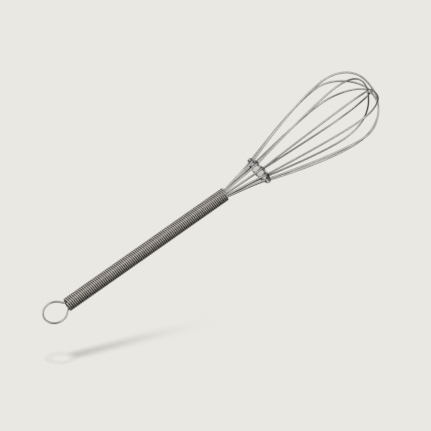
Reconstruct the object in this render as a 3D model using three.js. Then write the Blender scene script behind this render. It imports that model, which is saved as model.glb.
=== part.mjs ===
// A small balloon whisk, hanging by its eye. Millimetres, +Z up.
// The origin is the centre of the hanging eye, which lies in the XZ plane. The handle hangs
// straight down, parallel to Z, and depths are counted down from the coil's upper mouth.
import * as THREE from "three";

// Coil handle: one close-wound wire.
const COIL_WIRE = 1.0;
const COIL_OUTSIDE = 6.8;
const COIL_TURNS = 95;
const COIL_PITCH = COIL_WIRE;
const COIL_START_DEG = -105;
const COIL_TURN_GAP = 0.02;
const COIL_STEPS_PER_TURN = 10;
const COIL_LENGTH = COIL_TURNS * COIL_PITCH + COIL_WIRE;

// Hanging loop: a round eye whose two legs go down into the coil. Its centre is a little off the
// handle's centre line, towards +X.
const LOOP_WIRE = 0.9;
const EYE_RADIUS = 5.8;
const EYE_RISE = 5.96;
const EYE_SIDE = 0.45;
const LOOP_LEG_OFFSET = 1.75;
const LOOP_LEG_LENGTH = 16;
const LOOP_BEND_RADIUS = 2;
const LOOP_BEND_BELOW_MOUTH = 0.2;

// Balloon: five wires, each one a loop with both legs inside the coil.
const WHISK_WIRE = 0.9;
const LEG_RADIUS = 1.52;
const LEG_LENGTH = 70;
const LEG_BEND_LENGTH = 1.95;
const MOUTH_RADIUS = 1.75;
const DISC_DEPTH = 116.7;
const DISC_WIRE_RADIUS = 6.4;
const NECK_HANDLE = 7;
const SHOULDER_SLOPE = 0.31;
const SHOULDER_HANDLE = 28.8;
const BELLY_DEPTH = 170.3;
const BELLY_HANDLE = 8.5;
const LEAN_REACH = 4;
const SWAY_DEPTH = 189.6;
const SWAY_POWER = 1.5;
const LOOP_STEP_DEG = 36;
const MIDDLE_LOOP_DEG = 61;

// Each wire is bent by hand, so they differ a little. place counts 36 degree steps round the axis.
// holes and twist are the turns in degrees from there, at the disc for each side of the wire and at
// the belly. belly is the largest radius, and sway is the shift in x and y at the tip. tip is the
// tip's depth, and lean its slope, so that the wires pass over each other there. dome is how full the
// loop is near its tip.
const WHISK_WIRES = [
  {
    place: 2,
    holes: [-6, -12],
    twist: 8.5,
    belly: 17.9,
    sway: [0.1, -1.6],
    tip: 190.7,
    dome: 13.6,
    lean: 0.08,
  },
  {
    place: -1,
    holes: [-2, -2],
    twist: 6.5,
    belly: 19.5,
    sway: [0.5, -0.95],
    tip: 189.35,
    dome: 13.6,
    lean: -0.12,
  },
  {
    place: 0,
    holes: [2, -4],
    twist: 4,
    belly: 19.1,
    sway: [-0.05, 0.6],
    tip: 188.79,
    dome: 13.6,
    lean: 0.1,
  },
  {
    place: 1,
    holes: [0, -8],
    twist: 1,
    belly: 18.9,
    sway: [0.25, 0.65],
    tip: 187.95,
    dome: 14.9,
    lean: -0.04,
  },
  {
    place: -2,
    holes: [-10, 4],
    twist: 5.5,
    belly: 18.8,
    sway: [0.9, 0.55],
    tip: 189.93,
    dome: 10.6,
    lean: 0.1,
  },
];

// Spreader disc: a thin round plate with a hole for each strand.
const DISC_RADIUS = 7.8;
const DISC_THICKNESS = 0.6;
const DISC_HOLE_RADIUS = 0.68;
const DISC_TILT_DEG = -7;
const DISC_TILT_AXIS_DEG = 60;
const DISC_SHIFT = 0.2;

// Facets
const WIRE_SIDES = 6;
const DISC_SIDES = 48;
const HOLE_SIDES = 10;

const STEEL = { color: 0xb4b1ab, roughness: 0.28, metalness: 1 };
const COIL_STEEL = { color: 0x8f8b85, roughness: 0.34, metalness: 1 };
const DISC_STEEL = { color: 0xc9c9cb, roughness: 0.16, metalness: 1 };

const radians = THREE.MathUtils.degToRad;

/** A wire's centre line, given by its own stations: straight runs stay coarse and bends stay fine. */
class WirePath extends THREE.Curve {
  /** across(i) is a vector across the wire at station i, which the section's second axis follows. */
  constructor(stations, across) {
    super();
    this.stations = stations;
    this.across = across;
  }

  getSpacedPoints() {
    return this.stations;
  }

  computeFrenetFrames() {
    const tangents = this.stations.map((_, i) => this.tangentAtStation(i));
    const binormals = tangents.map((tangent, i) => {
      const across = this.across(i).clone();
      return across.addScaledVector(tangent, -across.dot(tangent)).normalize();
    });
    const normals = tangents.map((tangent, i) => binormals[i].clone().cross(tangent));
    return { tangents, normals, binormals };
  }

  tangentAtStation(i) {
    const last = this.stations.length - 1;
    const here = this.stations[i];
    const before = this.stations[Math.max(i - 1, 0)];
    const after = this.stations[Math.min(i + 1, last)];
    const incoming = here.clone().sub(before).normalize();
    const outgoing = after.clone().sub(here).normalize();
    return incoming.add(outgoing).normalize();
  }
}

/** Corners of a regular polygon as 2-D points, stretched to radiusX and radiusY. */
function polygon(sides, radiusX, radiusY, firstAngle = 0) {
  return Array.from({ length: sides }, (_, i) => {
    const angle = firstAngle + (2 * Math.PI * i) / sides;
    return new THREE.Vector2(radiusX * Math.cos(angle), radiusY * Math.sin(angle));
  });
}

/** A solid wire with the given section, swept along the path. */
function wireGeometry(path, sectionCorners) {
  return new THREE.ExtrudeGeometry(new THREE.Shape(sectionCorners), {
    steps: path.stations.length - 1,
    bevelEnabled: false,
    extrudePath: path,
  });
}

/** The corners of a round wire's section, with a flat towards the inside and outside of its bends. */
function roundSection(diameter) {
  return polygon(WIRE_SIDES, diameter / 2, diameter / 2, Math.PI / WIRE_SIDES);
}

function namedMesh(name, geometry, finish) {
  const mesh = new THREE.Mesh(geometry, new THREE.MeshStandardMaterial(finish));
  mesh.name = name;
  return mesh;
}

/** The coil: a right-handed helix that starts at the upper mouth and runs down. */
function makeCoil() {
  const meanRadius = (COIL_OUTSIDE - COIL_WIRE) / 2;
  const steps = COIL_TURNS * COIL_STEPS_PER_TURN;
  const stations = [];
  for (let i = 0; i <= steps; i++) {
    const turns = i / COIL_STEPS_PER_TURN;
    const angle = radians(COIL_START_DEG) - 2 * Math.PI * turns;
    const depth = COIL_WIRE / 2 + turns * COIL_PITCH;
    stations.push(
      new THREE.Vector3(meanRadius * Math.cos(angle), meanRadius * Math.sin(angle), -depth),
    );
  }
  const up = new THREE.Vector3(0, 0, 1);
  const section = polygon(4, COIL_WIRE / 2, (COIL_PITCH - COIL_TURN_GAP) / 2);
  const path = new WirePath(stations, () => up);
  return namedMesh("grip_coil", wireGeometry(path, section), COIL_STEEL);
}

/** Points of an arc in the XZ plane, its centre at height z, both ends included. */
function arc(x, z, radius, fromAngle, toAngle, steps) {
  return Array.from({ length: steps + 1 }, (_, i) => {
    const angle = THREE.MathUtils.lerp(fromAngle, toAngle, i / steps);
    return new THREE.Vector3(x + radius * Math.cos(angle), 0, z + radius * Math.sin(angle));
  });
}

/**
 * A leg of the hanging loop on the +X side and its bend at the mouth. It leaves at the angle
 * spread from the handle and runs straight onto the eye, whose centre is sideways from the leg.
 */
function loopLeg(sideways) {
  const eyeAbove = EYE_RISE + LOOP_BEND_BELOW_MOUTH;
  const toCentre = Math.hypot(sideways, eyeAbove);
  const spread = Math.asin(EYE_RADIUS / toCentre) - Math.atan2(sideways, eyeAbove);
  const bendX = LOOP_LEG_OFFSET + LOOP_BEND_RADIUS;
  const bendZ = -LOOP_BEND_BELOW_MOUTH - LOOP_BEND_RADIUS * Math.tan(spread / 2);
  const points = [
    new THREE.Vector3(LOOP_LEG_OFFSET, 0, -LOOP_LEG_LENGTH),
    ...arc(bendX, bendZ, LOOP_BEND_RADIUS, Math.PI, Math.PI - spread, 4),
  ];
  return { spread, points };
}

/** The hanging loop: leg, bend at the mouth, eye, bend and leg, all in the XZ plane. */
function makeHangingLoop() {
  const near = loopLeg(LOOP_LEG_OFFSET - EYE_SIDE);
  const far = loopLeg(LOOP_LEG_OFFSET + EYE_SIDE);
  const eye = arc(EYE_SIDE, EYE_RISE, EYE_RADIUS, -near.spread, Math.PI + far.spread, 32);
  const farPoints = far.points.map((p) => new THREE.Vector3(-p.x, p.y, p.z)).reverse();
  const acrossEye = new THREE.Vector3(0, 1, 0);
  const path = new WirePath([...near.points, ...eye, ...farPoints], () => acrossEye);
  return namedMesh("hanging_loop", wireGeometry(path, roundSection(LOOP_WIRE)), STEEL);
}

/** One side of a whisk wire as (radius, depth) points, from the leg's end to the tip. */
function strandProfile(belly, tipDepth, dome) {
  const at = (radius, depth) => new THREE.Vector2(radius, depth);
  const mouthSlope = (DISC_WIRE_RADIUS - MOUTH_RADIUS) / (DISC_DEPTH - COIL_LENGTH);
  const bend = new THREE.QuadraticBezierCurve(
    at(LEG_RADIUS, COIL_LENGTH - LEG_BEND_LENGTH),
    at(LEG_RADIUS, COIL_LENGTH - LEG_BEND_LENGTH / 2),
    at(MOUTH_RADIUS, COIL_LENGTH),
  );
  const neck = new THREE.CubicBezierCurve(
    at(MOUTH_RADIUS, COIL_LENGTH),
    at(MOUTH_RADIUS + NECK_HANDLE * mouthSlope, COIL_LENGTH + NECK_HANDLE),
    at(DISC_WIRE_RADIUS - NECK_HANDLE * SHOULDER_SLOPE, DISC_DEPTH - NECK_HANDLE),
    at(DISC_WIRE_RADIUS, DISC_DEPTH),
  );
  const shoulder = new THREE.CubicBezierCurve(
    at(DISC_WIRE_RADIUS, DISC_DEPTH),
    at(DISC_WIRE_RADIUS + SHOULDER_HANDLE * SHOULDER_SLOPE, DISC_DEPTH + SHOULDER_HANDLE),
    at(belly, BELLY_DEPTH - BELLY_HANDLE),
    at(belly, BELLY_DEPTH),
  );
  const end = new THREE.CubicBezierCurve(
    at(belly, BELLY_DEPTH),
    at(belly, BELLY_DEPTH + BELLY_HANDLE),
    at(dome, tipDepth),
    at(0, tipDepth),
  );
  return [
    at(LEG_RADIUS, COIL_LENGTH - LEG_LENGTH),
    ...bend.getPoints(3),
    ...neck.getPoints(4).slice(1),
    ...shoulder.getPoints(9).slice(1),
    ...end.getPoints(12).slice(1),
  ];
}

/** How far a wire has turned from its plane. It runs straight from mouth to disc to belly. */
function turnFromPlane({ holes, twist }, radius, depth) {
  if (depth <= COIL_LENGTH) {
    return 0;
  }
  const hole = radians(radius > 0 ? holes[0] : holes[1]);
  const reach = Math.max(Math.abs(radius), 1);
  if (depth <= DISC_DEPTH) {
    const toDisc = (DISC_DEPTH - depth) / (DISC_DEPTH - COIL_LENGTH);
    return hole * (1 - (toDisc * MOUTH_RADIUS) / reach);
  }
  const toBelly = Math.max(0, (BELLY_DEPTH - depth) / (BELLY_DEPTH - DISC_DEPTH));
  const share = 1 - (toBelly * DISC_WIRE_RADIUS) / reach;
  return hole + (radians(twist) - hole) * share;
}

/** The angle of a wire's plane round the axis, before it turns. */
function planeAngle(place) {
  return radians(MIDDLE_LOOP_DEG + place * LOOP_STEP_DEG);
}

/** A whisk wire's centre line. */
function whiskWireStations(wire) {
  const { place, belly, sway, tip, dome, lean } = wire;
  const profile = strandProfile(belly, tip, dome);
  const otherSide = profile.slice(0, -1).map((p) => new THREE.Vector2(-p.x, p.y)).reverse();
  return [...profile, ...otherSide].map(({ x: radius, y: depth }) => {
    const angle = planeAngle(place) + turnFromPlane(wire, radius, depth);
    const pastDisc = Math.max(0, (depth - DISC_DEPTH) / (SWAY_DEPTH - DISC_DEPTH));
    const growth = pastDisc ** SWAY_POWER;
    const leaning = depth > BELLY_DEPTH ? lean * radius * Math.exp(-((radius / LEAN_REACH) ** 2)) : 0;
    return new THREE.Vector3(
      radius * Math.cos(angle) + sway[0] * growth,
      radius * Math.sin(angle) + sway[1] * growth,
      -depth - leaning,
    );
  });
}

function makeWhiskWire(stations, index) {
  const plane = planeAngle(WHISK_WIRES[index].place);
  const acrossLoop = new THREE.Vector3(-Math.sin(plane), Math.cos(plane), 0);
  const path = new WirePath(stations, () => acrossLoop);
  const geometry = wireGeometry(path, roundSection(WHISK_WIRE));
  return namedMesh(`balloon_wire_${index + 1}`, geometry, STEEL);
}

/** Where a centre line passes through the plane z = 0 of the disc's own frame, as 2-D points. */
function crossings(stations, toDisc) {
  const local = stations.map((p) => p.clone().applyMatrix4(toDisc));
  const found = [];
  for (let i = 1; i < local.length; i++) {
    const [a, b] = [local[i - 1], local[i]];
    if (a.z * b.z < 0) {
      const point = a.clone().lerp(b, a.z / (a.z - b.z));
      found.push(new THREE.Vector2(point.x, point.y));
    }
  }
  return found;
}

/** The spreader disc, a little canted on the wires, with a hole where each strand goes through. */
function makeDisc(wires) {
  const tiltAxis = radians(DISC_TILT_AXIS_DEG);
  const disc = new THREE.Object3D();
  disc.position.set(-DISC_SHIFT * Math.sin(tiltAxis), DISC_SHIFT * Math.cos(tiltAxis), -DISC_DEPTH);
  disc.setRotationFromAxisAngle(
    new THREE.Vector3(Math.cos(tiltAxis), Math.sin(tiltAxis), 0),
    radians(DISC_TILT_DEG),
  );
  disc.updateMatrix();
  const toDisc = disc.matrix.clone().invert();
  const holes = wires.flatMap((stations) => crossings(stations, toDisc));
  const outline = new THREE.Shape(polygon(DISC_SIDES, DISC_RADIUS, DISC_RADIUS));
  const holeRadius = DISC_HOLE_RADIUS / Math.cos(Math.PI / HOLE_SIDES);
  for (const hole of holes) {
    const corners = polygon(HOLE_SIDES, holeRadius, holeRadius, Math.atan2(hole.y, hole.x));
    outline.holes.push(new THREE.Path(corners.map((corner) => corner.add(hole))));
  }
  const geometry = new THREE.ExtrudeGeometry(outline, { depth: DISC_THICKNESS, bevelEnabled: false });
  geometry.translate(0, 0, -DISC_THICKNESS / 2);
  const mesh = namedMesh("spreader_disc", geometry, DISC_STEEL);
  mesh.position.copy(disc.position);
  mesh.quaternion.copy(disc.quaternion);
  return mesh;
}

// Everything is drawn with the middle of the coil's upper mouth at zero, then hung by its eye.
const whisk = new THREE.Group();
const wires = WHISK_WIRES.map(whiskWireStations);
whisk.add(makeCoil(), makeHangingLoop(), ...wires.map(makeWhiskWire), makeDisc(wires));
whisk.position.set(-EYE_SIDE, 0, -EYE_RISE);

export default whisk;
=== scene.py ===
"""A small steel balloon whisk, hung by its eye: the looks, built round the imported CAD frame."""

import math

import bpy
from mathutils import Matrix, Vector


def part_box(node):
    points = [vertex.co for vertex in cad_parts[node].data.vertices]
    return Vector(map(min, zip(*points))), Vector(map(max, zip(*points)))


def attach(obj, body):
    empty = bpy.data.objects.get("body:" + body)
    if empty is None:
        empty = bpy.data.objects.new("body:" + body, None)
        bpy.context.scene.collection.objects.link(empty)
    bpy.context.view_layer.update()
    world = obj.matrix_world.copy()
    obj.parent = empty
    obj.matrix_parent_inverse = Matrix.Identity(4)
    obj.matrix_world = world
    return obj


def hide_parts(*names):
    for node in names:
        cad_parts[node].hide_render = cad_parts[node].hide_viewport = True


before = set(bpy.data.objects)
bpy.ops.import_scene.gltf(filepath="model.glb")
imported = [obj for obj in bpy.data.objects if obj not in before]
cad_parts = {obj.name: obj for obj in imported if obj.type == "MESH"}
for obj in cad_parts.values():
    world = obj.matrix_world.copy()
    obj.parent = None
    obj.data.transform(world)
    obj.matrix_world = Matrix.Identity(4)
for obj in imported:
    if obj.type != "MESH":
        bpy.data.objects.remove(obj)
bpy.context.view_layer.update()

MM = 0.001
UP = Vector((0, 0, 1))

# Wires in general: the chamfer at a cut end as a share of the radius, and the sides of a section.
END_CHAMFER = 0.12
WIRE_SIDES = 16

# The handle's place: its upper mouth is the zero of all depths.
COIL_LOW, COIL_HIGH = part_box("grip_coil")
MOUTH = Vector(((COIL_LOW.x + COIL_HIGH.x) / 2, (COIL_LOW.y + COIL_HIGH.y) / 2, COIL_HIGH.z))
COIL_LENGTH = COIL_HIGH.z - COIL_LOW.z

# Coil handle
COIL_WIRE = 1.0 * MM
COIL_OUTSIDE = 6.8 * MM
COIL_TURNS = 95
COIL_TURN_GAP = 0.01 * MM
COIL_START = math.radians(-105)
COIL_STEPS_PER_TURN = 56
COIL_SIDES = 14

# Hanging loop: the eye's centre is the origin, and the handle is a little to one side of it.
LOOP_WIRE = 0.9 * MM
EYE_RADIUS = 5.8 * MM
LOOP_LEG_OFFSET = 1.75 * MM
LOOP_LEG_LENGTH = 16 * MM
LOOP_BEND_RADIUS = 2 * MM
LOOP_BEND_BELOW_MOUTH = 0.2 * MM
LOOP_BEND_STEPS = 16
EYE_STEPS = 120

# Balloon wires
WHISK_WIRE = 0.9 * MM
LEG_RADIUS = 1.52 * MM
LEG_LENGTH = 70 * MM
LEG_BEND_LENGTH = 1.95 * MM
MOUTH_RADIUS = 1.75 * MM
DISC_DEPTH = 116.7 * MM
DISC_WIRE_RADIUS = 6.4 * MM
NECK_HANDLE = 7 * MM
SHOULDER_SLOPE = 0.31
SHOULDER_HANDLE = 28.8 * MM
BELLY_DEPTH = 170.3 * MM
BELLY_HANDLE = 8.5 * MM
LEAN_REACH = 4 * MM
SWAY_DEPTH = 189.6 * MM
SWAY_POWER = 1.5
LEG_BEND_STEPS = 6
NECK_STEPS = 24
SHOULDER_STEPS = 60
DOME_STEPS = 48
LOOP_STEP = math.radians(36)
MIDDLE_LOOP = math.radians(61)

# Each wire is bent by hand, so they differ a little. place counts steps round the axis. holes and twist
# are the turns in degrees from there, at the disc for each side of the wire and at the belly. belly is
# the largest radius, sway is the shift in x and y at the tip, tip is the tip's depth, dome is how full
# the loop is near its tip and lean is the tip's slope. Lengths are in millimetres.
WHISK_WIRES = [
    {
        "place": 2,
        "holes": (-6, -12),
        "twist": 8.5,
        "belly": 17.9,
        "sway": (0.1, -1.6),
        "tip": 190.7,
        "dome": 13.6,
        "lean": 0.08,
    },
    {
        "place": -1,
        "holes": (-2, -2),
        "twist": 6.5,
        "belly": 19.5,
        "sway": (0.5, -0.95),
        "tip": 189.35,
        "dome": 13.6,
        "lean": -0.12,
    },
    {
        "place": 0,
        "holes": (2, -4),
        "twist": 4,
        "belly": 19.1,
        "sway": (-0.05, 0.6),
        "tip": 188.79,
        "dome": 13.6,
        "lean": 0.1,
    },
    {
        "place": 1,
        "holes": (0, -8),
        "twist": 1,
        "belly": 18.9,
        "sway": (0.25, 0.65),
        "tip": 187.95,
        "dome": 14.9,
        "lean": -0.04,
    },
    {
        "place": -2,
        "holes": (-10, 4),
        "twist": 5.5,
        "belly": 18.8,
        "sway": (0.9, 0.55),
        "tip": 189.93,
        "dome": 10.6,
        "lean": 0.1,
    },
]

# Spreader disc. A face is flat-shaded where its normal is more upright than DISC_FACE_UPRIGHT.
DISC_RADIUS = 7.8 * MM
DISC_THICKNESS = 0.6 * MM
DISC_HOLE_RADIUS = 0.66 * MM
DISC_EDGE_ROUNDING = 0.09 * MM
DISC_EDGE_STEPS = 3
DISC_FACE_UPRIGHT = 0.999
DISC_CORNERS = 128
HOLE_CORNERS = 32
DISC_TILT = math.radians(-7)
DISC_TILT_AXIS = math.radians(60)
DISC_SHIFT = 0.2 * MM

# Steels: linear colours where the metal is bright and where it is dulled. PAINTED_GROOVE_SHADE is how
# much of its paleness the coil's wire keeps where shade is painted between the turns and in the bore,
# and GROOVE_EDGES are the cosines, from the outward side, between which that painted shade sets in.
COIL_BRIGHT = (0.72, 0.675, 0.64)
COIL_DULL = (0.62, 0.58, 0.545)
COIL_ROUGHNESS = 0.26
PAINTED_GROOVE_SHADE = 0.38
GROOVE_EDGES = (0.5, 0.95)
WIRE_BRIGHT = (0.77, 0.76, 0.73)
WIRE_DULL = (0.685, 0.675, 0.64)
WIRE_ROUGHNESS = 0.24
DISC_BRIGHT = (0.74, 0.73, 0.745)
DISC_DULL = (0.66, 0.645, 0.66)
DISC_ROUGHNESS = 0.04

# The steels' marks, each as streaks: how many for each millimetre across and along, and a seed.
DIE_LINES = (14, 0.12, 3.7)
WIRE_PATCHES = (0.5, 0.16, 11.3)
WIRE_SPECKS = (5, 3.5, 23.9)
DIE_LINE_DEPTH = 0.004 * MM
ROLLING_LINES = (9, 0.25, 5.1)
POLISHING_MARKS = (22, 0.9, 17.3)
POLISHING_SLANT = math.radians(24)
DISC_SMEARS = (0.32, 0.2, 41.7)
# HOLE_REFLECTION_BLOTCHES only make the painted dark reflections round the disc's holes uneven.
HOLE_REFLECTION_BLOTCHES = (0.9, 0.7, 29.3)
DISC_MARK_DEPTH = 0.0015 * MM

# How the marks show. A SPAN is the stretch of the noise over which a mark sets in, a SHADE is how much
# of its paleness the metal keeps at the two ends of it, and the ROUGHNESS values are what is added.
LINE_SPAN = (0.3, 0.7)
WIRE_PATCH_SPAN = (0.35, 0.68)
WIRE_SPECK_SPAN = (0.62, 0.74)
SMEAR_SPAN = (0.35, 0.7)
SMEAR_ROUGH_SPAN = (0.4, 0.7)
DIE_LINE_SHADE = (0.86, 1.06)
WIRE_SPECK_SHADE = (1.0, 0.82)
ROLLING_SHADE = (0.93, 1.04)
DIE_LINE_ROUGHNESS = (-0.07, 0.06)
WIRE_PATCH_ROUGHNESS = 0.08

# Painted dark reflections round the disc's holes and painted shade along a part of its rim, in
# millimetres:
# the reflections' reach round a hole and how much of the paleness is left there; how much the shade
# takes from the rim, the side it is on, the radii between which it starts and how far towards that side
# it sets in.
HOLE_REFLECTION_REACH = (1.8, 2.6)
HOLE_REFLECTION_DARK = 0.09
RIM_PAINTED_SHADE = 0.85
RIM_SHADE_SIDE = math.radians(95)
RIM_SHADE_START = (7.1, 7.6)
RIM_SHADE_SPREAD = (1.5, 5.0)

# Camera: azimuth 0 looks along +Y. It aims beside the handle's axis, below the mouth.
VIEW_AZIMUTH = math.radians(-30)
VIEW_ELEVATION = math.radians(16.48)
VIEW_ROLL = math.radians(125.2)
VIEW_DISTANCE = 749.7 * MM
VIEW_AIM_SIDE = -5.82 * MM
VIEW_AIM_DEPTH = 85.27 * MM
VIEW_LENS = 129.07
SENSOR = 36.0

# Studio: soft lights all round, each with its direction in the picture (right, up, towards the
# camera), its strength and its tightness.
PALE = (0.8148, 0.8069, 0.7682)
LIGHT_TINT = (1.0, 0.99, 0.965)
ROOM_FILL = 0.03
STUDIO_LIGHTS = {
    "front_top": ((0.23, 0.66, 0.72), 1.35, 5.5),
    "front_right": ((0.6, -0.2, 0.77), 1.3, 13),
    "front_left": ((-0.75, 0.05, 0.66), 1.35, 12),
    "left_high": ((-0.8, 0.6, -0.08), 1.35, 8.5),
    "back_right": ((0.9, 0.1, -0.4), 1.3, 13),
    "backdrop": ((-0.44, -0.31, -0.84), 0.78, 6),
}

# Floor: a plain plane below the eye, leaning towards the camera. Near the eye, SHADOW_DEPTH of its
# paleness is a sun's light, so the whisk's shadow shows there. FLOOR_ROOM_LIGHT is what the studio
# adds to the sun, so that the floor is as pale near the eye as far from it.
FLOOR_SLOPE = math.radians(22)
FLOOR_BELOW_EYE = 24 * MM
FLOOR_SIZE = 0.7
SHADOW_DEPTH = 0.33
SHADOW_REACH = 92 * MM
SUN_FROM_SIDE = -0.07
SUN_ANGLE = math.radians(11)
FLOOR_ALBEDO = 0.05
FLOOR_ROOM_LIGHT = 0.55
SUN_STRENGTH = math.pi * (SHADOW_DEPTH / FLOOR_ALBEDO - FLOOR_ROOM_LIGHT)


def turned(azimuth):
    """Unit vectors of a level camera at that azimuth: to its right, and into the picture."""
    right = Vector((math.cos(azimuth), math.sin(azimuth), 0))
    return right, UP.cross(right)


def camera_axes():
    """The camera's right, up and forward."""
    right, ahead = turned(VIEW_AZIMUTH)
    forward = ahead * math.cos(VIEW_ELEVATION) - UP * math.sin(VIEW_ELEVATION)
    level_up = right.cross(forward)
    up = level_up * math.cos(VIEW_ROLL) + right * math.sin(VIEW_ROLL)
    return forward.cross(up), up, forward


def in_the_room(direction):
    """A direction of the picture (right, up, towards the camera) as a unit vector of the world."""
    right, up, forward = camera_axes()
    return (right * direction[0] + up * direction[1] - forward * direction[2]).normalized()


# ---------------------------------------------------------------- nodes


def add_node(tree, kind, inputs=None, **settings):
    """A new node. inputs gives each named or numbered input a value or another node's output."""
    node = tree.nodes.new(kind)
    for name, value in settings.items():
        setattr(node, name, value)
    for key, value in (inputs or {}).items():
        if isinstance(value, bpy.types.NodeSocket):
            tree.links.new(value, node.inputs[key])
        else:
            node.inputs[key].default_value = value
    return node


def calculate(tree, operation, first, second=0.0):
    """The output of a maths node."""
    return add_node(tree, "ShaderNodeMath", {0: first, 1: second}, operation=operation).outputs[0]


def rescale(tree, value, low, high, to_low, to_high):
    """value's span from low to high, spread over to_low to to_high with soft ends."""
    inputs = {"Value": value, 1: low, 2: high, 3: to_low, 4: to_high}
    return add_node(tree, "ShaderNodeMapRange", inputs, interpolation_type="SMOOTHSTEP").outputs[0]


def blend_colours(tree, share, first, second, blend_type="MIX"):
    node = add_node(tree, "ShaderNodeMix", data_type="RGBA", blend_type=blend_type)
    for socket, value in ((node.inputs[0], share), (node.inputs[6], first), (node.inputs[7], second)):
        if isinstance(value, bpy.types.NodeSocket):
            tree.links.new(value, socket)
        else:
            socket.default_value = value if isinstance(value, float) else (*value, 1)
    return node.outputs[2]


# ---------------------------------------------------------------- camera and studio


def make_camera():
    right, up, forward = camera_axes()
    level_right, _ = turned(VIEW_AZIMUTH)
    aim = MOUTH + level_right * VIEW_AIM_SIDE - UP * VIEW_AIM_DEPTH
    data = bpy.data.cameras.new("photo_camera")
    data.lens = VIEW_LENS
    data.sensor_width = SENSOR
    data.clip_start = 0.01
    data.clip_end = 50
    camera = bpy.data.objects.new("photo_camera", data)
    place = Matrix((right, up, -forward)).transposed().to_4x4()
    place.translation = aim - forward * VIEW_DISTANCE
    camera.matrix_world = place
    bpy.context.scene.collection.objects.link(camera)
    bpy.context.scene.camera = camera


def make_studio():
    """A world that is plain and pale where it is seen, and lights the whisk from soft sources."""
    world = bpy.data.worlds.new("studio")
    world.use_nodes = True
    tree = world.node_tree
    tree.nodes.clear()
    direction = add_node(tree, "ShaderNodeTexCoord").outputs["Generated"]
    total = ROOM_FILL
    for toward, strength, tightness in STUDIO_LIGHTS.values():
        aligned = add_node(
            tree,
            "ShaderNodeVectorMath",
            {0: direction, 1: in_the_room(toward)},
            operation="DOT_PRODUCT",
        ).outputs["Value"]
        lobe = calculate(tree, "POWER", calculate(tree, "MAXIMUM", aligned), float(tightness))
        total = calculate(tree, "ADD", calculate(tree, "MULTIPLY", lobe, strength), total)
    room = add_node(tree, "ShaderNodeBackground", {"Color": (*LIGHT_TINT, 1), "Strength": total})
    seen = add_node(tree, "ShaderNodeBackground", {"Color": (*PALE, 1)})
    rays = add_node(tree, "ShaderNodeLightPath")
    shown = add_node(
        tree,
        "ShaderNodeMixShader",
        {0: rays.outputs["Is Camera Ray"], 1: room.outputs[0], 2: seen.outputs[0]},
    )
    add_node(tree, "ShaderNodeOutputWorld", {"Surface": shown.outputs[0]})
    bpy.context.scene.world = world
    bpy.context.scene.view_settings.view_transform = "Standard"
    bpy.context.scene.cycles.use_denoising = False


def make_floor():
    """A plain pale floor, seen by the camera only, and a sun that lights nothing else."""
    normal = in_the_room((0, math.cos(FLOOR_SLOPE), math.sin(FLOOR_SLOPE)))
    right = in_the_room((1, 0, 0))
    ahead = normal.cross(right)
    half = FLOOR_SIZE / 2
    signs = ((-1, -1), (1, -1), (1, 1), (-1, 1))
    corners = [(right * x + ahead * y) * half for x, y in signs]
    mesh = bpy.data.meshes.new("floor")
    mesh.from_pydata(corners, [], [(0, 1, 2, 3)])
    mesh.materials.append(make_floor_material())
    floor = bpy.data.objects.new("floor", mesh)
    floor.location = -normal * FLOOR_BELOW_EYE
    floor.visible_glossy = False
    floor.visible_diffuse = False
    floor.visible_shadow = False
    bpy.context.scene.collection.objects.link(floor)

    data = bpy.data.lights.new("floor_sun", "SUN")
    data.energy = SUN_STRENGTH
    data.angle = SUN_ANGLE
    sun = bpy.data.objects.new("floor_sun", data)
    sun.rotation_mode = "QUATERNION"
    sun.rotation_quaternion = (normal + right * SUN_FROM_SIDE).to_track_quat("Z", "Y")
    lit = bpy.data.collections.new("lit_by_floor_sun")
    lit.objects.link(floor)
    sun.light_linking.receiver_collection = lit
    bpy.context.scene.collection.objects.link(sun)


def make_floor_material():
    """Even paleness of its own, and near the eye partly a matt surface of the same paleness."""
    material = bpy.data.materials.new("floor")
    material.use_nodes = True
    tree = material.node_tree
    tree.nodes.clear()
    dim = [FLOOR_ALBEDO * channel for channel in PALE]
    matt = add_node(tree, "ShaderNodeBsdfDiffuse", {"Color": (*dim, 1)})
    rest = add_node(tree, "ShaderNodeEmission", {"Color": (*PALE, 1), "Strength": 1 - SHADOW_DEPTH})
    sunny = add_node(tree, "ShaderNodeAddShader", {0: matt.outputs[0], 1: rest.outputs[0]})
    plain = add_node(tree, "ShaderNodeEmission", {"Color": (*PALE, 1)})
    place = add_node(tree, "ShaderNodeTexCoord").outputs["Object"]
    away = add_node(tree, "ShaderNodeVectorMath", {0: place}, operation="LENGTH").outputs["Value"]
    share = rescale(tree, away, 0.0, SHADOW_REACH, 1.0, 0.0)
    shown = add_node(tree, "ShaderNodeMixShader", {0: share, 1: plain.outputs[0], 2: sunny.outputs[0]})
    clear = add_node(tree, "ShaderNodeBsdfTransparent")
    behind = add_node(tree, "ShaderNodeNewGeometry").outputs["Backfacing"]
    sides = {0: behind, 1: shown.outputs[0], 2: clear.outputs[0]}
    surface = add_node(tree, "ShaderNodeMixShader", sides)
    add_node(tree, "ShaderNodeOutputMaterial", {"Surface": surface.outputs[0]})
    return material


make_camera()
make_studio()
make_floor()


# ---------------------------------------------------------------- mesh helpers


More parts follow.
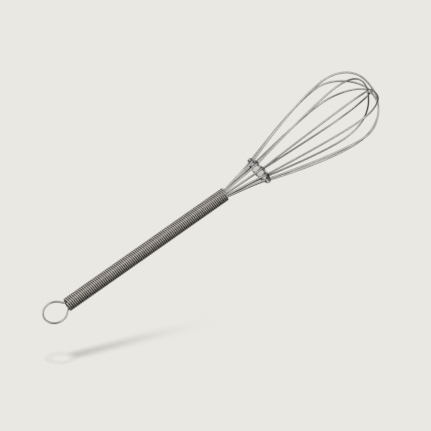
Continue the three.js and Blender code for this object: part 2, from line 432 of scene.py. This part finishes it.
def swept_wire(name, centres, across, diameter, sides, material):
    """A round wire along the centres, with chamfered cut ends. across is a vector across the wire.
    Its UV map holds millimetres: round the wire in U, from the side that faces away from
    across x wire, and along it in V."""
    radius = diameter / 2
    last = len(centres) - 1
    tangents = []
    for i in range(last + 1):
        tangents.append((centres[min(i + 1, last)] - centres[max(i - 1, 0)]).normalized())
    chamfer = END_CHAMFER * radius
    rings = [(centres[0] - tangents[0] * chamfer, tangents[0], radius - chamfer)]
    rings += [(centre, tangent, radius) for centre, tangent in zip(centres, tangents)]
    rings += [(centres[-1] + tangents[-1] * chamfer, tangents[-1], radius - chamfer)]
    vertices, lengths = [], [0.0]
    for k, (centre, tangent, size) in enumerate(rings):
        if k:
            lengths.append(lengths[-1] + (centre - rings[k - 1][0]).length / MM)
        second = (across - tangent * across.dot(tangent)).normalized()
        first = second.cross(tangent)
        for j in range(sides):
            angle = 2 * math.pi * j / sides
            vertices.append(centre + (first * math.cos(angle) + second * math.sin(angle)) * size)
    faces, uvs = [], []
    step = math.pi * diameter / MM / sides
    for k, (low, high) in enumerate(zip(lengths, lengths[1:])):
        for j in range(sides):
            a, b = k * sides + j, k * sides + (j + 1) % sides
            faces.append((a, b, b + sides, a + sides))
            uvs += [(j * step, low), ((j + 1) * step, low), ((j + 1) * step, high), (j * step, high)]
    end = (len(rings) - 1) * sides
    faces += [tuple(reversed(range(sides))), tuple(range(end, end + sides))]
    uvs += [(0, 0)] * (2 * sides)
    mesh = bpy.data.meshes.new(name)
    mesh.from_pydata(vertices, [], faces)
    layer = mesh.uv_layers.new(name="wire")
    for loop, uv in zip(layer.data, uvs):
        loop.uv = uv
    for polygon in mesh.polygons:
        polygon.use_smooth = len(polygon.vertices) == 4
    return as_piece(name, mesh, material)


def as_piece(name, mesh, material):
    mesh.materials.clear()
    mesh.materials.append(material)
    piece = bpy.data.objects.new(name, mesh)
    bpy.context.scene.collection.objects.link(piece)
    return piece


def bezier(points, steps):
    """Points of a Bezier curve, without its first one."""
    found = []
    for s in range(1, steps + 1):
        level = [Vector(p) for p in points]
        while len(level) > 1:
            level = [a.lerp(b, s / steps) for a, b in zip(level, level[1:])]
        found.append(level[0])
    return found


# ---------------------------------------------------------------- materials


def new_steel(name):
    """A new metal material: its node tree and its shader."""
    material = bpy.data.materials.new(name)
    material.use_nodes = True
    tree = material.node_tree
    shader = tree.nodes["Principled BSDF"]
    shader.inputs["Metallic"].default_value = 1
    return material, tree, shader


def streaks(tree, uv, across, along, seed):
    """Noise in long streaks. across and along are the streaks' counts for each millimetre."""
    placing = {"Vector": uv, "Scale": (across, along, 1), "Location": (seed, seed, seed)}
    scaled = add_node(tree, "ShaderNodeMapping", placing)
    noise = add_node(tree, "ShaderNodeTexNoise", {"Vector": scaled.outputs[0], "Scale": 1, "Detail": 3})
    return noise.outputs[0]


def add_bump(tree, shader, height, depth):
    bump = add_node(tree, "ShaderNodeBump", {"Height": height, "Distance": depth, "Strength": 1.0})
    tree.links.new(bump.outputs[0], shader.inputs["Normal"])


def drawn_wire_steel(name, bright, dull, roughness, painted_groove_shade=None):
    """Drawn wire: fine die lines along it, dull patches, and a colour that wanders a little.
    painted_groove_shade is how dark the painted shade makes a coil's wire where it touches the next
    turn and in the bore."""
    material, tree, shader = new_steel(name)
    uv = add_node(tree, "ShaderNodeUVMap", uv_map="wire").outputs[0]
    die_lines = streaks(tree, uv, *DIE_LINES)
    patches = streaks(tree, uv, *WIRE_PATCHES)
    specks = streaks(tree, uv, *WIRE_SPECKS)
    dulled = rescale(tree, patches, *WIRE_PATCH_SPAN, 0.0, 1.0)
    colour = blend_colours(tree, dulled, bright, dull)
    lined = rescale(tree, die_lines, *LINE_SPAN, *DIE_LINE_SHADE)
    speckled = rescale(tree, specks, *WIRE_SPECK_SPAN, *WIRE_SPECK_SHADE)
    shade = calculate(tree, "MULTIPLY", lined, speckled)
    # Painted shade: a coil's wire is darker where it turns away from the outward side, between the
    # turns and in the bore.
    if painted_groove_shade is not None:
        separate = add_node(tree, "ShaderNodeSeparateXYZ", {0: uv})
        turn = calculate(tree, "MULTIPLY", separate.outputs[0], 2 / (COIL_WIRE / MM))
        outward = calculate(tree, "COSINE", turn)
        groove_shade = rescale(tree, outward, *GROOVE_EDGES, painted_groove_shade, 1.0)
        shade = calculate(tree, "MULTIPLY", shade, groove_shade)
    shades = add_node(tree, "ShaderNodeCombineXYZ", {0: shade, 1: shade, 2: shade}).outputs[0]
    shaded = blend_colours(tree, 1.0, colour, shades, "MULTIPLY")
    tree.links.new(shaded, shader.inputs["Base Color"])
    ends = [roughness + change for change in DIE_LINE_ROUGHNESS]
    rough = rescale(tree, die_lines, *LINE_SPAN, *ends)
    rougher = calculate(tree, "MULTIPLY", dulled, WIRE_PATCH_ROUGHNESS)
    rough = calculate(tree, "ADD", rough, rougher)
    tree.links.new(rough, shader.inputs["Roughness"])
    add_bump(tree, shader, die_lines, DIE_LINE_DEPTH)
    return material


def polished_plate_steel(name, holes):
    """Stamped sheet: rolling lines one way, finer polishing marks askew, a few dull smears, and
    painted dark reflections round the holes and painted shade along a part of the rim."""
    material, tree, shader = new_steel(name)
    uv = add_node(tree, "ShaderNodeUVMap", uv_map="plate").outputs[0]
    slant = {"Vector": uv, "Rotation": (0, 0, POLISHING_SLANT)}
    askew = add_node(tree, "ShaderNodeMapping", slant).outputs[0]
    rolling = streaks(tree, uv, *ROLLING_LINES)
    polishing = streaks(tree, askew, *POLISHING_MARKS)
    smears = streaks(tree, uv, *DISC_SMEARS)
    blotches = streaks(tree, uv, *HOLE_REFLECTION_BLOTCHES)
    smeared = rescale(tree, smears, *SMEAR_SPAN, 0.0, 1.0)
    colour = blend_colours(tree, smeared, DISC_BRIGHT, DISC_DULL)
    lined = rescale(tree, rolling, *LINE_SPAN, *ROLLING_SHADE)

    def length_from(x, y):
        inputs = {0: uv, 1: (x / MM, y / MM, 0)}
        return add_node(tree, "ShaderNodeVectorMath", inputs, operation="DISTANCE").outputs["Value"]

    # Painted dark reflections of the strands round each hole, made uneven by the blotches.
    nearest = DISC_RADIUS / MM
    for hole in holes:
        nearest = calculate(tree, "MINIMUM", nearest, length_from(hole.x, hole.y))
    nearest = calculate(tree, "ADD", nearest, blotches)
    painted_reflection = rescale(tree, nearest, *HOLE_REFLECTION_REACH, HOLE_REFLECTION_DARK, 1.0)
    # Painted shade along a part of the rim, on one side of the disc.
    side = (math.cos(RIM_SHADE_SIDE), math.sin(RIM_SHADE_SIDE), 0)
    towards = add_node(tree, "ShaderNodeVectorMath", {0: uv, 1: side}, operation="DOT_PRODUCT")
    far_out = rescale(tree, length_from(0, 0), *RIM_SHADE_START, 0.0, 1.0)
    there = rescale(tree, towards.outputs["Value"], *RIM_SHADE_SPREAD, 0.0, RIM_PAINTED_SHADE)
    rim = calculate(tree, "SUBTRACT", 1.0, calculate(tree, "MULTIPLY", far_out, there))
    shade = calculate(tree, "MULTIPLY", calculate(tree, "MULTIPLY", lined, painted_reflection), rim)
    shades = add_node(tree, "ShaderNodeCombineXYZ", {0: shade, 1: shade, 2: shade}).outputs[0]
    shaded = blend_colours(tree, 1.0, colour, shades, "MULTIPLY")
    tree.links.new(shaded, shader.inputs["Base Color"])
    fine = rescale(tree, polishing, *LINE_SPAN, DISC_ROUGHNESS, 2 * DISC_ROUGHNESS)
    smeary = rescale(tree, smears, *SMEAR_ROUGH_SPAN, 0.0, DISC_ROUGHNESS)
    rough = calculate(tree, "ADD", fine, smeary)
    tree.links.new(rough, shader.inputs["Roughness"])
    add_bump(tree, shader, calculate(tree, "ADD", rolling, polishing), DISC_MARK_DEPTH)
    return material


coil_steel = drawn_wire_steel("coil_steel", COIL_BRIGHT, COIL_DULL, COIL_ROUGHNESS, PAINTED_GROOVE_SHADE)
wire_steel = drawn_wire_steel("wire_steel", WIRE_BRIGHT, WIRE_DULL, WIRE_ROUGHNESS)


# ---------------------------------------------------------------- pieces


def at(x, y, depth):
    """A place from its offsets from the handle's axis and its depth below the mouth."""
    return MOUTH + Vector((x, y, -depth))


def make_coil():
    mean_radius = (COIL_OUTSIDE - COIL_WIRE) / 2
    pitch = (COIL_LENGTH - COIL_WIRE) / COIL_TURNS
    centres = []
    for i in range(COIL_TURNS * COIL_STEPS_PER_TURN + 1):
        turns = i / COIL_STEPS_PER_TURN
        angle = COIL_START - 2 * math.pi * turns
        depth = COIL_WIRE / 2 + turns * pitch
        centres.append(at(mean_radius * math.cos(angle), mean_radius * math.sin(angle), depth))
    return swept_wire("coil_handle", centres, UP, COIL_WIRE - COIL_TURN_GAP, COIL_SIDES, coil_steel)


def arc(x, z, radius, start, end, steps):
    """Points of an arc in the XZ plane."""
    angles = [start + (end - start) * i / steps for i in range(steps + 1)]
    return [Vector((x + radius * math.cos(a), 0, z + radius * math.sin(a))) for a in angles]


def loop_leg(side):
    """A leg of the hanging loop and its bend at the mouth, on the +X side (1) or the -X side (-1).
    It leaves the handle at the angle spread and runs straight onto the eye."""
    sideways = LOOP_LEG_OFFSET + side * MOUTH.x
    eye_above = -MOUTH.z + LOOP_BEND_BELOW_MOUTH
    to_centre = math.hypot(sideways, eye_above)
    spread = math.asin(EYE_RADIUS / to_centre) - math.atan2(sideways, eye_above)
    bend_depth = LOOP_BEND_BELOW_MOUTH + LOOP_BEND_RADIUS * math.tan(spread / 2)
    bend_x = LOOP_LEG_OFFSET + LOOP_BEND_RADIUS
    bend = arc(bend_x, -bend_depth, LOOP_BEND_RADIUS, math.pi, math.pi - spread, LOOP_BEND_STEPS)
    leg = [Vector((LOOP_LEG_OFFSET, 0, -LOOP_LEG_LENGTH))] + bend
    return spread, [at(side * p.x, 0, -p.z) for p in leg]


def make_hanging_loop():
    near_spread, near_leg = loop_leg(1)
    far_spread, far_leg = loop_leg(-1)
    eye = arc(0, 0, EYE_RADIUS, -near_spread, math.pi + far_spread, EYE_STEPS)
    centres = near_leg + eye + far_leg[::-1]
    return swept_wire("loop_wire", centres, Vector((0, 1, 0)), LOOP_WIRE, WIRE_SIDES, wire_steel)


def strand_profile(belly, tip, dome_handle):
    """One side of a whisk wire as (radius, depth) points, from the leg's end to the tip."""
    slope = (DISC_WIRE_RADIUS - MOUTH_RADIUS) / (DISC_DEPTH - COIL_LENGTH)
    bend_start = COIL_LENGTH - LEG_BEND_LENGTH
    bend = [
        (LEG_RADIUS, bend_start),
        (LEG_RADIUS, bend_start + LEG_BEND_LENGTH / 2),
        (MOUTH_RADIUS, COIL_LENGTH),
    ]
    neck = [
        (MOUTH_RADIUS, COIL_LENGTH),
        (MOUTH_RADIUS + NECK_HANDLE * slope, COIL_LENGTH + NECK_HANDLE),
        (DISC_WIRE_RADIUS - NECK_HANDLE * SHOULDER_SLOPE, DISC_DEPTH - NECK_HANDLE),
        (DISC_WIRE_RADIUS, DISC_DEPTH),
    ]
    shoulder = [
        (DISC_WIRE_RADIUS, DISC_DEPTH),
        (DISC_WIRE_RADIUS + SHOULDER_HANDLE * SHOULDER_SLOPE, DISC_DEPTH + SHOULDER_HANDLE),
        (belly, BELLY_DEPTH - BELLY_HANDLE),
        (belly, BELLY_DEPTH),
    ]
    dome = [(belly, BELLY_DEPTH), (belly, BELLY_DEPTH + BELLY_HANDLE), (dome_handle, tip), (0, tip)]
    straight = [Vector((LEG_RADIUS, COIL_LENGTH - LEG_LENGTH)), Vector((LEG_RADIUS, bend_start))]
    shaped = bezier(neck, NECK_STEPS) + bezier(shoulder, SHOULDER_STEPS) + bezier(dome, DOME_STEPS)
    return straight + bezier(bend, LEG_BEND_STEPS) + shaped


def turn_from_plane(wire, radius, depth):
    """How far a wire has turned from its plane. It runs straight from mouth to disc to belly."""
    if depth <= COIL_LENGTH:
        return 0.0
    hole = math.radians(wire["holes"][0 if radius > 0 else 1])
    reach = max(abs(radius), MM)
    if depth <= DISC_DEPTH:
        to_disc = (DISC_DEPTH - depth) / (DISC_DEPTH - COIL_LENGTH)
        return hole * (1 - to_disc * MOUTH_RADIUS / reach)
    to_belly = max(0.0, (BELLY_DEPTH - depth) / (BELLY_DEPTH - DISC_DEPTH))
    share = 1 - to_belly * DISC_WIRE_RADIUS / reach
    return hole + (math.radians(wire["twist"]) - hole) * share


def whisk_wire_centres(wire):
    profile = strand_profile(*(wire[key] * MM for key in ("belly", "tip", "dome")))
    both_sides = profile + [Vector((-p.x, p.y)) for p in reversed(profile[:-1])]
    sway_x, sway_y = (sway * MM for sway in wire["sway"])
    centres = []
    for radius, depth in both_sides:
        angle = MIDDLE_LOOP + wire["place"] * LOOP_STEP + turn_from_plane(wire, radius, depth)
        growth = max(0.0, (depth - DISC_DEPTH) / (SWAY_DEPTH - DISC_DEPTH)) ** SWAY_POWER
        if depth > BELLY_DEPTH:
            depth += wire["lean"] * radius * math.exp(-((radius / LEAN_REACH) ** 2))
        x = radius * math.cos(angle) + sway_x * growth
        y = radius * math.sin(angle) + sway_y * growth
        centres.append(at(x, y, depth))
    return centres


def make_whisk_wire(index, centres):
    plane = MIDDLE_LOOP + WHISK_WIRES[index]["place"] * LOOP_STEP
    across = Vector((-math.sin(plane), math.cos(plane), 0))
    return swept_wire(f"whisk_wire_{index + 1}", centres, across, WHISK_WIRE, WIRE_SIDES, wire_steel)


def crossings(centres, to_disc):
    """Where a centre line passes through the disc's middle plane, in the disc's own frame."""
    local = [to_disc @ p for p in centres]
    return [a.lerp(b, a.z / (a.z - b.z)) for a, b in zip(local, local[1:]) if a.z * b.z < 0]


def add_circle(outline, x, y, radius, corners):
    spline = outline.splines.new("POLY")
    spline.points.add(corners - 1)
    for i, point in enumerate(spline.points):
        angle = 2 * math.pi * i / corners
        point.co = (x + radius * math.cos(angle), y + radius * math.sin(angle), 0, 1)
    spline.use_cyclic_u = True


def make_disc(wires):
    """The plate with its rounded rim and holes, made from a filled and bevelled outline."""
    axis = Vector((math.cos(DISC_TILT_AXIS), math.sin(DISC_TILT_AXIS), 0))
    shift = UP.cross(axis) * DISC_SHIFT
    place = Matrix.Rotation(DISC_TILT, 4, axis)
    place.translation = at(shift.x, shift.y, DISC_DEPTH)
    outline = bpy.data.curves.new("disc_outline", "CURVE")
    outline.dimensions = "2D"
    outline.fill_mode = "BOTH"
    outline.extrude = DISC_THICKNESS / 2 - DISC_EDGE_ROUNDING
    outline.bevel_depth = DISC_EDGE_ROUNDING
    outline.bevel_resolution = DISC_EDGE_STEPS
    outline.offset = -DISC_EDGE_ROUNDING
    add_circle(outline, 0, 0, DISC_RADIUS, DISC_CORNERS)
    holes = [hole for centres in wires for hole in crossings(centres, place.inverted())]
    for hole in holes:
        add_circle(outline, hole.x, hole.y, DISC_HOLE_RADIUS, HOLE_CORNERS)
    drawing = bpy.data.objects.new("disc_outline", outline)
    bpy.context.scene.collection.objects.link(drawing)
    graph = bpy.context.evaluated_depsgraph_get()
    mesh = bpy.data.meshes.new_from_object(drawing.evaluated_get(graph))
    bpy.data.objects.remove(drawing)
    mesh.name = "disc_plate"
    layer = mesh.uv_layers.active or mesh.uv_layers.new()
    layer.name = "plate"
    for loop in mesh.loops:
        layer.data[loop.index].uv = mesh.vertices[loop.vertex_index].co.xy / MM
    for polygon in mesh.polygons:
        polygon.use_smooth = abs(polygon.normal.z) < DISC_FACE_UPRIGHT
    mesh.transform(place)
    return as_piece("disc_plate", mesh, polished_plate_steel("disc_steel", holes))


def stand_for(piece, node):
    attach(piece, "root")
    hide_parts(node)


stand_for(make_coil(), "grip_coil")
stand_for(make_hanging_loop(), "hanging_loop")
wires = [whisk_wire_centres(wire) for wire in WHISK_WIRES]
for index, centres in enumerate(wires):
    stand_for(make_whisk_wire(index, centres), f"balloon_wire_{index + 1}")
stand_for(make_disc(wires), "spreader_disc")
